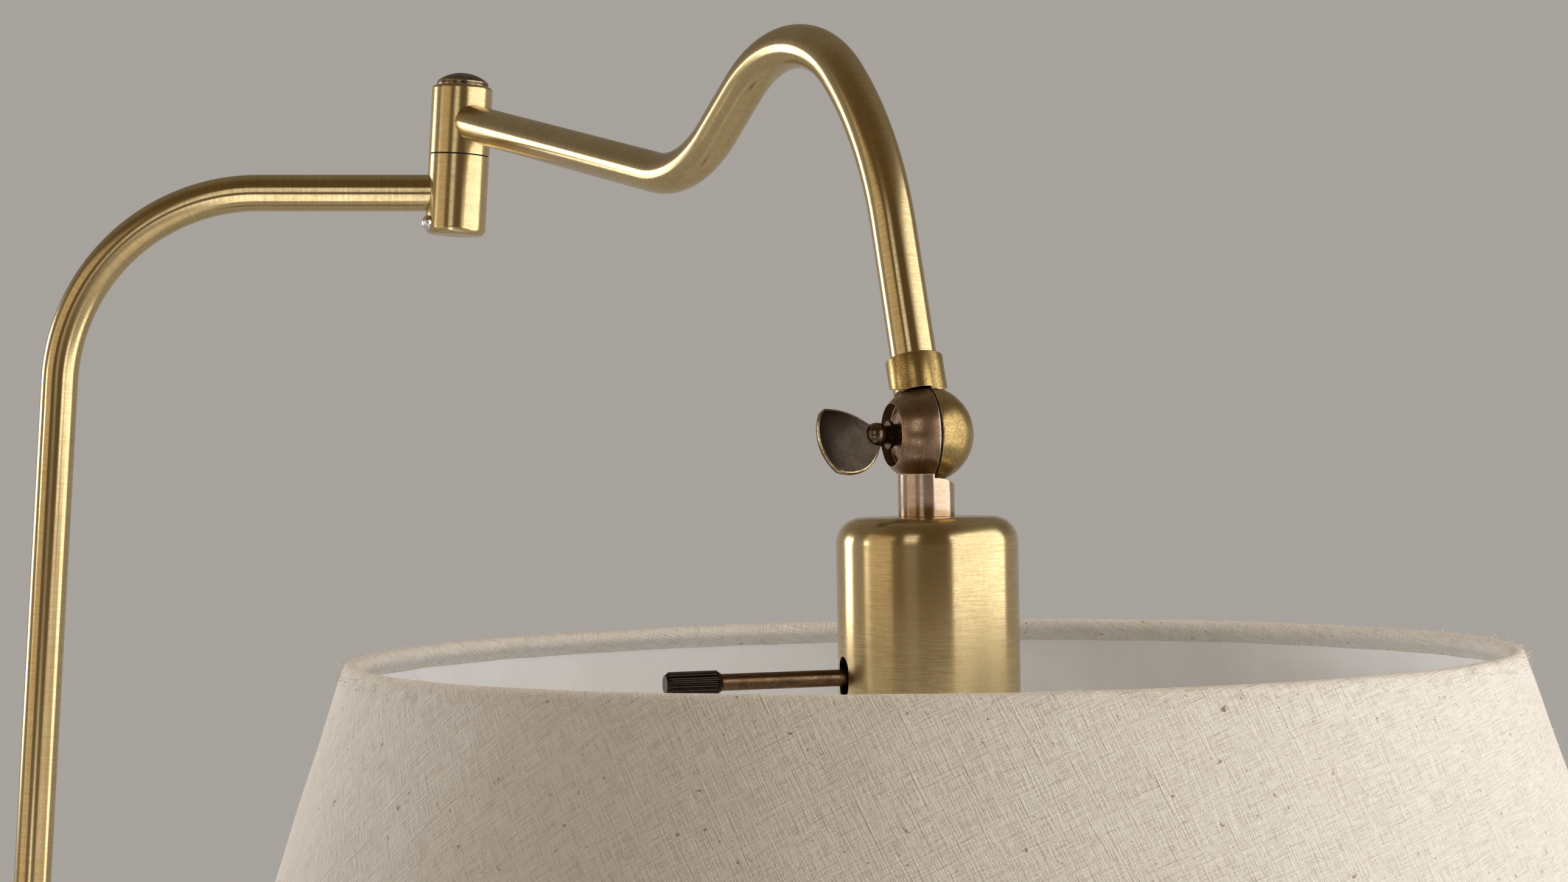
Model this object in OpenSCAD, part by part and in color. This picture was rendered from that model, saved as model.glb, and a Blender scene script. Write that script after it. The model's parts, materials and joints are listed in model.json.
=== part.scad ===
// Bridge floor lamp: weighted round base, sectioned pole with a bent lower arm, a knuckle, an S-bent
// upper arm, a cast ball swivel, a socket cup with a turn key and a conical fabric shade.
// Origin: centre of the foot on the floor. +Z is up and the lower arm points along +X.

/* [Tube] */
// Outer diameter of the pole and arm tube
tube_d = 12.7; // [11.5:0.1:14]
// Wall of the tube
tube_wall = 1.2; // [0.8:0.1:1.5]

/* [Pole and lower arm] */
// Height of the lower arm's centre line at the knuckle
arm_height = 1457; // [1200:1:1650]
// Length of each of the two lower pole sections
section_length = 450; // [350:1:520]
// Radius of the bend at the top of the pole
pole_bend_r = 69; // [50:1:90]
// Angle by which the lower arm climbs towards the knuckle
arm_rise = 3; // [0:0.5:8]
// Distance from the pole's axis to the knuckle's axis
lower_reach = 134.6; // [115:0.1:180]
// Length of the threaded sleeves that join the pole sections
coupler_length = 50; // [30:1:80]

/* [Base] */
// Diameter of the base
base_d = 280; // [260:1:340]
// Height of the base cover's rim part
base_h = 20; // [18:0.5:30]
// Rounding of the base cover's edge
base_edge_r = 7; // [3:0.5:8]
// Sheet thickness of the base cover
cover_wall = 1.5; // [1:0.1:2.5]
// Gap between the cover's rim and the floor
rim_gap = 1.2; // [0.5:0.1:1.5]
// Diameter of the raised step under the pole's foot
step_d = 86; // [60:1:110]
// Height of the raised step
step_h = 6; // [4:0.5:10]
// Diameter of the cast weight
weight_d = 244; // [200:1:252]
// Thickness of the pad under the weight
pad_t = 3; // [2:0.5:4]
// Diameter of the pole's foot where it meets the step
foot_d = 36; // [30:1:50]
// Height of the pole's foot
foot_h = 24; // [18:1:40]
// Bore of the cord inlet bush
inlet_bore_d = 6.2; // [4:0.1:6.6]

/* [Knuckle] */
// Diameter of the knuckle
knuckle_d = 21; // [20:0.5:30]
// Distance from the lower arm's centre line to the bottom of the knuckle
knuckle_below = 14.8; // [14:0.1:25]
// Distance from the lower arm's centre line to the seam between the two halves
knuckle_seam = 12.7; // [11:0.1:13.5]
// Distance from the lower arm's centre line to the top rim of the knuckle
knuckle_above = 37; // [35:0.1:45]
// Height of the knuckle's domed cap above its rim
cap_rise = 4.8; // [3.6:0.1:8]
// Diameter of the knuckle's cap
cap_d = 17.8; // [16.6:0.1:18.4]
// Outer diameter of the threaded lamp pipe
pipe_d = 9.8; // [9.4:0.1:9.9]
// Bore of the threaded lamp pipe
pipe_bore_d = 6.8; // [5:0.1:7.4]

/* [Upper arm] */
// Direction of the upper arm, turned from the lower arm towards the front
reach_turn = 57; // [30:1:80]
// Distance between the two arms' centre lines on the knuckle's axis
arm_offset = 25.4; // [24.5:0.1:27]
// Angle by which the first straight drops
first_drop = 10.5; // [5:0.5:16]
// Length of the first straight, from the knuckle's axis
first_straight = 137.9; // [110:0.1:180]
// Radius of the low bend
low_bend_r = 41.2; // [32:0.1:55]
// Angle of the low bend
low_bend_angle = 52.9; // [40:0.1:60]
// Length of the climb between the low bend and the hump
climb = 18.4; // [8:0.1:40]
// Radius of the hump
hump_r = 39; // [32:0.1:55]
// Angle of the hump
hump_angle = 85.5; // [75:0.1:92]
// Radius of the sweep after the hump
sweep_r = 108.3; // [80:0.1:160]
// Angle of the sweep after the hump
sweep_angle = 27.4; // [18:0.1:32]
// Length of the last straight, down to the collar
last_straight = 39; // [20:0.1:60]

/* [Ball swivel] */
// Diameter of the ball
ball_d = 26; // [23:0.1:30]
// Diameter of the collar that holds the tube
collar_d = 15.6; // [15.2:0.1:18]
// Distance from the ball's centre up to the collar's lower edge
collar_foot = 12.2; // [11.6:0.1:12.8]
// Distance from the collar's top to the ball's centre
collar_to_ball = 21.4; // [20.5:0.1:26]
// Diameter of the neck under the ball
neck_d = 15.2; // [14:0.1:17]
// Distance from the ball's centre to the cup's top
neck_drop = 22.1; // [19:0.1:28]
// Direction of the swivel's axis, turned towards the front
swivel_turn = 18; // [0:1:40]
// Sideways lean of the head, top towards the pole
head_lean = 3.9; // [0:0.1:6]
// Diameter of the round recess that holds the wing screw
recess_d = 16.9; // [15:0.1:18]
// Thread diameter of the wing screw
wing_thread_d = 5; // [4:0.1:6]
// Length of the wing screw's paddle, from the bead's centre
wing_length = 17.4; // [15:0.1:20]
// Width of the wing screw's paddle
wing_width = 18.4; // [16:0.1:21]
// Thickness of the wing screw's paddle
wing_t = 2; // [1.4:0.1:3]
// Turn of the paddle about its own axis
wing_tip = 15; // [0:1:60]

/* [Socket cup and switch] */
// Diameter of the cup
cup_d = 49; // [47:0.1:56]
// Height of the cup
cup_h = 68; // [62:0.5:76]
// Radius of the cup's shoulder
cup_shoulder_r = 6.9; // [3:0.1:9]
// Wall of the cup
cup_wall = 0.8; // [0.6:0.1:1.2]
// Distance from the cup's top to the key's axis
key_drop = 42.4; // [41:0.1:48]
// Width of the key's slot
slot_w = 7; // [5.5:0.1:9]
// Height of the key's slot
slot_h = 11.2; // [9.5:0.1:14]
// Diameter of the key's rod
key_rod_d = 4.5; // [3.5:0.1:5]
// Distance from the cup's axis to the knob
knob_start = 58.6; // [45:0.1:75]
// Length of the knob
knob_length = 15.2; // [10:0.1:22]
// Diameter of the knob over its ridges
knob_d = 6.5; // [6:0.1:10]
// Number of ridges round the knob
knob_ridges = 18; // [12:1:24]
// Inner diameter of the lamp socket's screw shell
shell_bore_d = 26.6; // [26.2:0.1:27]

/* [Shade] */
// Diameter of the shade at the top
shade_top_d = 311; // [260:1:360]
// Diameter of the shade at the bottom
shade_bottom_d = 463; // [400:1:500]
// Height of the shade
shade_h = 228; // [180:1:240]
// Distance from the ball's centre down to the shade's top edge
shade_drop = 57.3; // [55:0.1:70]
// Thickness of the fabric
fabric_t = 0.9; // [0.7:0.1:1.2]
// Thickness of the white lining
lining_t = 0.6; // [0.4:0.1:0.9]
// Depth of the fabric's turned hem inside the shade
hem_depth = 8.8; // [7:0.1:12]
// Diameter of the shade's ring wire
ring_wire_d = 2.8; // [2.4:0.1:3.2]
// Diameter of the spider's arms
spoke_d = 2.6; // [2.2:0.1:3.2]
// Number of spider arms
spokes = 3; // [3:1:4]

/* [Hidden] */
$fn = 64;

// Clearances and small allowances
fit = 0.05;         // pieces that are screwed, brazed or pressed together
running = 0.06;     // radial clearance of a turning shaft
over = 1;           // how far a cutting tool runs past a face
lap = 0.6;          // how far a straight runs into a bend
swell = 0.02;       // how much fatter a bend is

brass = [0.72, 0.58, 0.33];
aged_brass = [0.55, 0.44, 0.26];
bronze = [0.30, 0.22, 0.15];
steel = [0.70, 0.71, 0.72];
iron = [0.25, 0.25, 0.26];
black = [0.10, 0.10, 0.10];
porcelain = [0.90, 0.89, 0.86];
linen = [0.86, 0.82, 0.74];
white = [0.95, 0.95, 0.95];

tube_r = tube_d / 2;
tube_bore_r = tube_r - tube_wall;
pipe_r = pipe_d / 2;
pipe_bore_r = pipe_bore_d / 2;
sleeve_r = tube_bore_r - fit;
seat = pipe_r + tube_r * sin(first_drop) + 0.6;    // where the arm tubes end, from the knuckle's axis

// Heights in the base and the pole
cover_top = base_h;
step_top = base_h + step_h;
weight_top = base_h - cover_wall;
nut_h = 6;
washer_t = 1.5;
nut_room_h = nut_h + washer_t + over;
inlet_barrel_d = 8.2;
inlet_z = 6.8;
section_1_top = step_top + section_length;
section_2_top = section_1_top + section_length;
bend_angle = 90 - arm_rise;
bend_end_x = pole_bend_r * (1 - cos(bend_angle));
arm_run = lower_reach - bend_end_x;
bend_start_z = arm_height - arm_run * tan(arm_rise) - pole_bend_r * sin(bend_angle);

// Heights in the knuckle
swing_gap = 0.5;
knuckle_floor = 2.2;
knuckle_r = knuckle_d / 2;
knuckle_bottom_z = arm_height - knuckle_below;
seam_z = arm_height + knuckle_seam;
knuckle_top_z = arm_height + knuckle_above;
pocket_r = 8;
pocket_z = arm_height + arm_offset + tube_r;
pivot_washer_t = 1;
pivot_nut_h = 2.4;
window_r = 2.6;         // the openings that let the wires into the arms
screw_turn = 210;       // the lock screw: its direction, height, radii and how deep its head sits
screw_z = 3.6;
screw_r = 1.4;
screw_head_r = 2.6;
screw_sunk = 0.4;

// The upper arm as a list of steps: [length, 0] runs straight, [radius, angle] bends
collar_seat = 6;
hump_run = 1;
arm_path = [
    [first_straight - seat, 0],
    [low_bend_r, low_bend_angle],
    [climb, 0],
    [hump_r, -hump_angle],
    [hump_run, 0],
    [sweep_r, -sweep_angle],
    [last_straight, 0]
];
arm_tube_path = concat(arm_path, [[collar_seat, 0]]);
arm_start = [seat * cos(first_drop), arm_height + arm_offset - seat * sin(first_drop), -first_drop];
arm_end = path_end(arm_path, arm_start);

// The ball's centre
ball_r = ball_d / 2;
ball_s = arm_end[0] + collar_to_ball * cos(arm_end[2]);
ball_z = arm_end[1] + collar_to_ball * sin(arm_end[2]);
ball_x = lower_reach + ball_s * cos(reach_turn);
ball_y = -ball_s * sin(reach_turn);
split = 0.3;            // half the gap between the two halves of the ball
ball_gap = 0.6;         // air between a half ball and what it passes
neck_gap = 0.9;         // the same where the neck is turned away
wall_x = 7;           // distance from the ball's centre to the recess's floor
clamp_washer_t = 1;
thread_r = wing_thread_d / 2;
ring_in_r = 8.6;        // the friction washer between the halves
pocket_depth = 3.2;     // wire room in each half, round the screw
post_r = 4.2;
wire_r = 2.6;

// The head, from the ball's centre downwards
cup_r = cup_d / 2;
cup_top_z = -neck_drop;
cup_bottom_z = cup_top_z - cup_h;
stub_length = 14;
cup_nut_h = 3;
key_z = cup_top_z - key_drop;
socket_r = 19.8;
socket_top_z = cup_top_z - cup_wall - cup_nut_h - 1;
socket_below_cup = 9;
socket_bottom_z = cup_bottom_z - socket_below_cup;
shell_r = shell_bore_d / 2;
shell_wall = 0.5;
shell_top_z = key_z - key_rod_d / 2 - 3;
shell_lip = 3;              // how far the porcelain reaches past the shell
shell_length = shell_top_z - socket_bottom_z - shell_lip;
contact_well_r = 5;         // the well that holds the centre contact, above the shell's end
contact_well_h = 2;
key_end = 6;                // where the key's rod ends, from the cup's axis
fitter_t = 1.6;
fitter_z = cup_bottom_z - fit - fitter_t;
fitter_r = 25.5;

// The shade's wall, measured along the slope and inwards from its outer face
shade_angle = atan((shade_bottom_d - shade_top_d) / 2 / shade_h);
slope = shade_h / cos(shade_angle);
roll_r = ring_wire_d / 2 + fabric_t;
hem_bulge = 0.15;
fold_n = fabric_t + lining_t + 2 * fit;
function wall_at(s, n) = [
    shade_top_d / 2 + s * sin(shade_angle) - n * cos(shade_angle),
    -shade_drop - s * cos(shade_angle) - n * sin(shade_angle)
];
top_ring = wall_at(roll_r, roll_r);
bottom_ring = wall_at(slope - roll_r, roll_r);
spoke_turn = 90 - swivel_turn;

// End of a path in its own upright plane: [distance, height, heading]
function step_end(p, e) =
    e[1] == 0
    ? [p[0] + e[0] * cos(p[2]), p[1] + e[0] * sin(p[2]), p[2]]
    : let (turned = p[2] + e[1], side = e[1] > 0 ? 1 : -1)
      [
        p[0] + side * e[0] * (sin(turned) - sin(p[2])),
        p[1] - side * e[0] * (cos(turned) - cos(p[2])),
        turned
      ];
function path_end(path, p = [0, 0, 0], i = 0) =
    i == len(path) ? p : path_end(path, step_end(p, path[i]), i + 1);

// A bent rod that follows a list of steps, starting along +X. Its bends are a hair fatter than the
// straights, which run a little way into them, so that every joint merges into one solid.
module bent_rod(path, r, tip = 0, i = 0) {
    if (i < len(path)) {
        size = path[i][0];
        turn = path[i][1];
        if (turn == 0) {
            back = i == 0 ? tip : lap;
            ahead = i == len(path) - 1 ? tip : lap;
            translate([-back, 0, 0])
                rotate([0, 90, 0])
                    cylinder(h = back + size + ahead, r = r);
            translate([size, 0, 0])
                bent_rod(path, r, tip, i + 1);
        } else {
            up = sign(turn);
            rotate([up > 0 ? 0 : 180, 0, 0])
                translate([0, 0, size])
                    rotate([90, 90, 0])
                        rotate_extrude(angle = abs(turn), $fn = 160)
                            translate([size, 0])
                                circle(r = r + swell);
            translate([size * sin(abs(turn)), 0, up * size * (1 - cos(turn))])
                rotate([0, -turn, 0])
                    bent_rod(path, r, tip, i + 1);
        }
    }
}

// A tube that follows a list of steps
module bent_tube(path) {
    difference() {
        bent_rod(path, tube_r);
        bent_rod(path, tube_bore_r, over);
    }
}

// A hollow cylinder
module ring(r_out, r_in, h) {
    difference() {
        cylinder(h = h, r = r_out);
        translate([0, 0, -over])
            cylinder(h = h + 2 * over, r = r_in);
    }
}

// A hexagonal nut with a plain bore
module hex_nut(across_flats, bore_r, h) {
    difference() {
        cylinder(h = h, r = across_flats / sqrt(3), $fn = 6);
        translate([0, 0, -over])
            cylinder(h = h + 2 * over, r = bore_r);
    }
}

// Half profile of a disc with a rounded top edge, from height z0 to z1
module rounded_profile(r, edge_r, z0, z1) {
    translate([0, z0])
        square([r, z1 - z0 - edge_r]);
    translate([0, z0])
        square([r - edge_r, z1 - z0]);
    translate([r - edge_r, z1 - edge_r])
        circle(r = edge_r);
}

// Frames of the moving parts
module at_knuckle() {
    translate([lower_reach, 0, 0]) children();
}
module at_arm() {
    at_knuckle() rotate([0, 0, -reach_turn]) children();
}
module at_collar() {
    at_arm() translate([arm_end[0], 0, arm_end[1]]) rotate([0, -arm_end[2], 0]) children();
}
module at_ball() {
    translate([ball_x, ball_y, ball_z]) rotate([0, -head_lean, 0]) rotate([0, 0, swivel_turn]) children();
}
// The part of a ball that lies beyond x, on the collar's side (1) or the wing screw's side (-1)
module part_ball(r, x, side) {
    rotate([0, side * 90, 0])
        rotate_extrude($fn = 96)
            intersection() {
                circle(r = r);
                translate([0, x])
                    square([r, 2 * r]);
            }
}
// A cylinder along the swivel's axis, from x0 to x1
module across(x0, x1, r) {
    translate([x0, 0, 0]) rotate([0, 90, 0]) cylinder(h = x1 - x0, r = r);
}

// ---- Base ----

module base_pad() {
    color(black) cylinder(h = pad_t, r = weight_d / 2 + 3);
}

module base_weight() {
    room_d = 34;
    channel_w = 9;
    channel_h = 8;
    color(iron)
        difference() {
            translate([0, 0, pad_t])
                cylinder(h = weight_top - pad_t, r = weight_d / 2);
            cylinder(h = base_h, r = pipe_r + 0.3);
            cylinder(h = pad_t + nut_room_h, d = room_d);
            translate([-weight_d, -channel_w / 2, 0])
                cube([weight_d, channel_w, pad_t + channel_h]);
        }
}

module base_cover() {
    step_edge_r = 3;
    color(brass)
        difference() {
            rotate_extrude($fn = 128)
                difference() {
                    union() {
                        rounded_profile(base_d / 2, base_edge_r, rim_gap, cover_top);
                        rounded_profile(step_d / 2, step_edge_r, rim_gap, step_top);
                    }
                    rounded_profile(base_d / 2 - cover_wall, base_edge_r - cover_wall, 0, weight_top);
                    rounded_profile(
                        step_d / 2 - cover_wall, step_edge_r - cover_wall, 0, step_top - cover_wall
                    );
                }
            cylinder(h = 2 * step_top, r = pipe_r + fit);
            translate([-base_d / 2 - over, 0, inlet_z])
                rotate([0, 90, 0])
                    cylinder(h = base_edge_r + over, d = inlet_barrel_d + 2 * fit);
        }
}

module cord_inlet_bush() {
    flange_d = 11;
    flange_t = 1.6;
    barrel_length = cover_wall + 5;
    color(black)
        translate([-base_d / 2 - flange_t, 0, inlet_z])
            rotate([0, 90, 0])
                difference() {
                    union() {
                        cylinder(h = flange_t, d = flange_d);
                        cylinder(h = flange_t + barrel_length, d = inlet_barrel_d);
                    }
                    translate([0, 0, -over])
                        cylinder(h = flange_t + barrel_length + 2 * over, d = inlet_bore_d);
                }
}

module base_nipple() {
    top = step_top + foot_h + 4;
    bottom = pad_t + 0.5;
    color(steel)
        translate([0, 0, bottom])
            ring(pipe_r, pipe_bore_r, top - bottom);
}

module base_washer() {
    washer_d = 26;
    color(steel)
        translate([0, 0, pad_t + nut_room_h - washer_t])
            ring(washer_d / 2, pipe_r + fit, washer_t);
}

module base_nut() {
    flats = 17;
    color(steel)
        translate([0, 0, pad_t + nut_room_h - washer_t - nut_h])
            hex_nut(flats, pipe_r + fit, nut_h);
}

module pole_foot() {
    lip_h = 3;
    neck_w = 3.4;
    cove_r = foot_d / 2 - tube_r - neck_w;
    cove_h = foot_h - lip_h;
    color(brass)
        translate([0, 0, step_top])
            difference() {
                rotate_extrude($fn = 96)
                    difference() {
                        square([foot_d / 2, foot_h]);
                        translate([tube_r + neck_w + cove_r, lip_h + cove_r])
                            circle(r = cove_r);
                        translate([tube_r + neck_w, lip_h + cove_r])
                            square([foot_d, cove_h]);
                    }
                translate([0, 0, -over])
                    cylinder(h = foot_h + 2 * over, r = tube_r + fit);
            }
}

module foot_bush() {
    bush_h = foot_h + 2;
    color(steel)
        translate([0, 0, step_top])
            ring(sleeve_r, pipe_r + fit, bush_h);
}

// ---- Pole ----

module pole_lower() {
    color(brass)
        translate([0, 0, step_top])
            ring(tube_r, tube_bore_r, section_length);
}

module pole_coupler(z) {
    color(steel)
        translate([0, 0, z - coupler_length / 2])
            ring(sleeve_r, pipe_bore_r, coupler_length);
}

module coupler_low() {
    pole_coupler(section_1_top);
}

module pole_middle() {
    color(brass)
        translate([0, 0, section_1_top])
            ring(tube_r, tube_bore_r, section_length);
}

module coupler_high() {
    pole_coupler(section_2_top);
}

module pole_upper() {
    path = [
        [bend_start_z - section_2_top, 0],
        [pole_bend_r, -bend_angle],
        [(arm_run - seat) / cos(arm_rise), 0]
    ];
    color(brass)
        translate([0, 0, section_2_top])
            rotate([0, -90, 0])
                bent_tube(path);
}

// ---- Knuckle ----

// The hole that an arm's tube is brazed into, along +X from the knuckle's axis
module arm_socket() {
    rotate([0, 90, 0])
        cylinder(h = knuckle_d, r = tube_bore_r);
    translate([seat, 0, 0])
        rotate([0, 90, 0])
            cylinder(h = knuckle_d, r = tube_r + fit / 2);
}

module knuckle_lower() {
    edge_r = 2.5;
    color(aged_brass)
        at_knuckle()
            difference() {
                translate([0, 0, seam_z])
                    mirror([0, 0, 1])
                        rotate_extrude($fn = 96)
                            rounded_profile(knuckle_r, edge_r, 0, seam_z - knuckle_bottom_z);
                translate([0, 0, knuckle_bottom_z + knuckle_floor])
                    cylinder(h = knuckle_d * 2, r = pipe_r + fit);
                translate([0, 0, arm_height])
                    rotate([0, arm_rise, 180])
                        arm_socket();
                translate([0, 0, knuckle_bottom_z + screw_z])
                    rotate([0, 90, screw_turn]) {
                        cylinder(h = knuckle_d, r = screw_r + fit);
                        translate([0, 0, knuckle_r - screw_sunk])
                            cylinder(h = knuckle_d, r = screw_head_r + fit);
                    }
            }
}

module pivot_pipe() {
    bottom = knuckle_bottom_z + knuckle_floor + fit;
    top = pocket_z + 2 * fit + pivot_washer_t + pivot_nut_h + 0.3;
    color(steel)
        at_knuckle()
            difference() {
                translate([0, 0, bottom])
                    ring(pipe_r, pipe_bore_r, top - bottom);
                translate([0, 0, arm_height])
                    rotate([0, -90, 0])
                        cylinder(h = knuckle_d, r = window_r);
                translate([0, 0, arm_height + arm_offset])
                    rotate([0, 90, -reach_turn])
                        cylinder(h = knuckle_d, r = window_r);
            }
}

module swing_washer() {
    color(black)
        at_knuckle()
            translate([0, 0, seam_z + fit])
                ring(knuckle_r - 0.6, pipe_r + running, swing_gap - 2 * fit);
}

module knuckle_screw() {
    head_h = 2;
    dome_r = 3;
    tip = pipe_r + fit;
    color(steel)
        at_knuckle()
            translate([0, 0, knuckle_bottom_z + screw_z])
                rotate([0, 90, screw_turn])
                    rotate_extrude($fn = 48) {
                        translate([0, tip])
                            square([screw_r, knuckle_r - tip]);
                        intersection() {
                            translate([0, knuckle_r - screw_sunk])
                                square([screw_head_r, head_h + screw_sunk]);
                            translate([0, knuckle_r + head_h - dome_r])
                                circle(r = dome_r);
                        }
                    }
}

module knuckle_upper() {
    edge_r = 1.2;
    base_z = seam_z + swing_gap;
    color(aged_brass)
        at_arm()
            difference() {
                translate([0, 0, base_z])
                    rotate_extrude($fn = 96)
                        rounded_profile(knuckle_r, edge_r, 0, knuckle_top_z - base_z);
                cylinder(h = 2 * arm_height, r = pipe_r + running);
                translate([0, 0, pocket_z])
                    cylinder(h = knuckle_d, r = pocket_r);
                translate([0, 0, arm_height + arm_offset])
                    rotate([0, first_drop, 0])
                        arm_socket();
            }
}

module pivot_washer() {
    color(steel)
        at_knuckle()
            translate([0, 0, pocket_z + fit])
                ring(pocket_r - 0.4, pipe_r + fit, pivot_washer_t);
}

module pivot_nut() {
    flats = 13;
    color(steel)
        at_knuckle()
            translate([0, 0, pocket_z + 2 * fit + pivot_washer_t])
                hex_nut(flats, pipe_r + fit, pivot_nut_h);
}

module knuckle_cap() {
    plug_h = 1;
    rim_h = 1.6;
    cap_r = cap_d / 2;
    dome_h = cap_rise - rim_h;
    dome_r = (cap_r * cap_r + dome_h * dome_h) / (2 * dome_h);
    color(bronze)
        at_knuckle()
            translate([0, 0, knuckle_top_z]) {
                translate([0, 0, -plug_h])
                    cylinder(h = plug_h + rim_h, r = pocket_r - fit);
                cylinder(h = rim_h, r = cap_r);
                intersection() {
                    translate([0, 0, rim_h])
                        cylinder(h = dome_h + over, r = cap_r);
                    translate([0, 0, cap_rise - dome_r])
                        sphere(r = dome_r, $fn = 96);
                }
            }
}

// ---- Upper arm ----

module upper_arm() {
    color(brass)
        at_arm()
            translate([arm_start[0], 0, arm_start[1]])
                rotate([0, first_drop, 0])
                    bent_tube(arm_tube_path);
}

// ---- Ball swivel ----

// The ring-shaped wire room round the screw, on one side of the split
module wire_room(x0, x1) {
    difference() {
        across(x0, x1, ring_in_r - 1);
        across(x0 - over, x1 + over, post_r);
    }
}

module swivel_upper() {
    stem_r = collar_d / 2 - 0.9;
    thread_end = 9.5;
    color(aged_brass)
        difference() {
            union() {
                difference() {
                    union() {
                        at_collar()
                            across(0, collar_to_ball, stem_r);
                        difference() {
                            at_collar()
                                across(0, collar_to_ball, collar_d / 2);
                            at_ball()
                                translate([-ball_d, -ball_d, collar_foot - 2 * ball_d])
                                    cube(2 * ball_d);
                        }
                    }
                    at_ball()
                        part_ball(ball_r + ball_gap, -split - fit, -1);
                }
                at_ball()
                    part_ball(ball_r, split, 1);
            }
            at_collar() {
                across(-over, collar_seat, tube_r + fit / 2);
                across(collar_seat - over, collar_to_ball - post_r - 2, wire_r);
            }
            at_ball() {
                wire_room(split - over, split + pocket_depth);
                across(-ball_d, thread_end, thread_r + running);
            }
        }
}

module swivel_washer() {
    color(black)
        at_ball()
            difference() {
                across(fit - split, split - fit, ball_r - 0.4);
                across(-over, over, ring_in_r);
            }
}

module swivel_lower() {
    color(aged_brass)
        at_ball()
            difference() {
                union() {
                    part_ball(ball_r, split, -1);
                    difference() {
                        translate([0, 0, cup_top_z])
                            cylinder(h = neck_drop, d = neck_d);
                        across(-split - fit, ball_d, ball_r + neck_gap);
                    }
                    translate([0, 0, cup_top_z - stub_length])
                        cylinder(h = stub_length + over, r = pipe_r);
                }
                across(-ball_d, -wall_x, recess_d / 2);
                across(-ball_d, ball_d, thread_r + running);
                wire_room(-split - pocket_depth, over - split);
                translate([0, 0, cup_top_z - stub_length - over])
                    cylinder(h = stub_length + over + neck_drop - post_r - 1, r = wire_r);
            }
}

module clamp_washer() {
    washer_r = 6;
    color(steel)
        at_ball()
            difference() {
                across(-wall_x - clamp_washer_t, -wall_x, washer_r);
                across(-ball_d, 0, thread_r + running);
            }
}

// A circle through two points, bulging to the left of the way from a to b
module arc_side(a, b, r) {
    chord = b - a;
    inward = [chord[1], -chord[0]] / norm(chord);
    translate((a + b) / 2 + inward * sqrt(r * r - chord * chord / 4))
        circle(r = r);
}

// Outline of the wing screw's paddle: a leaf of three arcs from the bead, its tips rounded off
module paddle_outline() {
    root = [0.5, 0];
    top = [-0.874 * wing_length, 0.397 * wing_width];
    foot = [-0.661 * wing_length, -0.598 * wing_width];
    intersection() {
        arc_side(top, root, 1.005 * wing_width);
        arc_side(root, foot, 0.543 * wing_width);
        arc_side(foot, top, 0.81 * wing_width);
        translate([-0.5 * wing_length, -0.049 * wing_width])
            circle(r = 0.541 * wing_width);
    }
}

module wing_screw() {
    thread_end = 8.5;
    shoulder = wall_x + clamp_washer_t + fit;
    shoulder_r = 3;
    flange = 10;
    flange_t = 0.8;
    flange_r = 3.8;
    bead = 13.9;
    bead_r = 3.35;
    bead_neck_r = 2;
    color(bronze)
        at_ball() {
            rotate([0, -90, 0])
                rotate_extrude($fn = 96) {
                    translate([0, -thread_end])
                        square([thread_r, thread_end + bead]);
                    translate([0, shoulder])
                        square([shoulder_r, flange - shoulder]);
                    translate([0, flange])
                        square([flange_r, flange_t]);
                    square([bead_neck_r, bead]);
                    intersection() {
                        translate([0, bead])
                            circle(r = bead_r);
                        translate([0, bead - bead_r])
                            square(2 * bead_r);
                    }
                }
            translate([-bead, 0, 0])
                rotate([90 - wing_tip, 0, 0])
                    translate([0, 0, -wing_t / 2])
                        linear_extrude(wing_t)
                            paddle_outline();
        }
}

// ---- Socket cup, socket and switch ----

module socket_cup() {
    color(brass)
        at_ball()
            difference() {
                rotate_extrude($fn = 128)
                    difference() {
                        rounded_profile(cup_r, cup_shoulder_r, cup_bottom_z, cup_top_z);
                        rounded_profile(
                            cup_r - cup_wall, cup_shoulder_r - cup_wall,
                            cup_bottom_z - over, cup_top_z - cup_wall
                        );
                    }
                translate([0, 0, cup_top_z - over - cup_wall])
                    cylinder(h = 2 * over + cup_wall, r = pipe_r + fit);
                for (side = [-1, 1])
                    translate([0, 0, key_z + side * (slot_h - slot_w) / 2])
                        rotate([0, -90, 0])
                            cylinder(h = cup_d, d = slot_w);
                translate([-cup_d, -slot_w / 2, key_z - (slot_h - slot_w) / 2])
                    cube([cup_d, slot_w, slot_h - slot_w]);
            }
}

module cup_nut() {
    flats = 14;
    color(steel)
        at_ball()
            translate([0, 0, cup_top_z - cup_wall - cup_nut_h])
                hex_nut(flats, pipe_r + fit, cup_nut_h);
}

module socket_body() {
    boss_r = 9;
    boss_h = 4;
    stub_hole = cup_top_z - stub_length - 1;
    color(porcelain)
        at_ball()
            difference() {
                union() {
                    translate([0, 0, socket_top_z - boss_h])
                        cylinder(h = boss_h, r = boss_r);
                    translate([0, 0, socket_bottom_z])
                        cylinder(h = socket_top_z - boss_h - socket_bottom_z, r = socket_r);
                }
                translate([0, 0, stub_hole])
                    cylinder(h = stub_length, r = pipe_r + fit);
                translate([0, 0, socket_bottom_z - over])
                    cylinder(h = shell_top_z - socket_bottom_z + over, r = shell_r + shell_wall + fit);
                translate([0, 0, shell_top_z - over])
                    cylinder(h = contact_well_h + over, r = contact_well_r);
                translate([-key_end, 0, key_z])
                    rotate([0, -90, 0])
                        cylinder(h = socket_r, r = key_rod_d / 2 + running);
            }
}

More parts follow.
